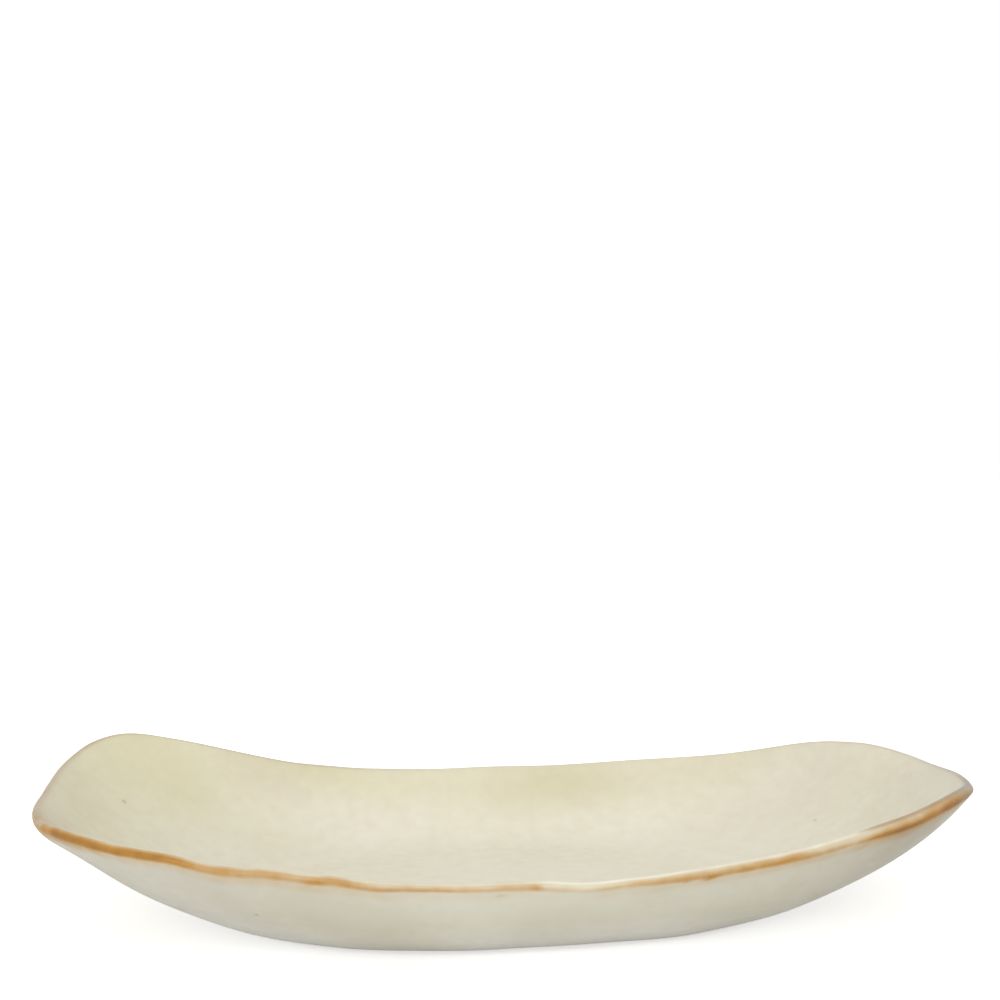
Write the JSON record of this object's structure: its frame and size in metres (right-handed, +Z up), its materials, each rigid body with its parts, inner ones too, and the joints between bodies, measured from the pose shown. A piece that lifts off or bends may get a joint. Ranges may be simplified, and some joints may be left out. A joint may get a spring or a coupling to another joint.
{
  "type": "rectangular serving dish",
  "caption": "Long rounded-rectangular stoneware serving dish with a flat bare foot, flaring walls, a wavy rim swept up to lifted corners, cream satin glaze and a tan edge.",
  "frame": {"origin": "on the table under the middle of the flat foot", "axes": "+X along the dish's length, +Y across it to the far side, +Z up from the table"},
  "size_m": [0.3492, 0.1842, 0.056],
  "materials": {
    "bare_clay": "unglazed, matt, fine sandy grain",
    "outer_cream_glaze": "satin, faintly streaked",
    "tan_rim_glaze": "satin, broken from tan to cream",
    "inner_cream_glaze": "satin, softly clouded"
  },
  "bodies": {
    "root": {"stoneware_body": "bare_clay", "outer_glaze": "outer_cream_glaze", "rim_glaze": "tan_rim_glaze", "inner_glaze": "inner_cream_glaze"}
  },
  "joints": []
}
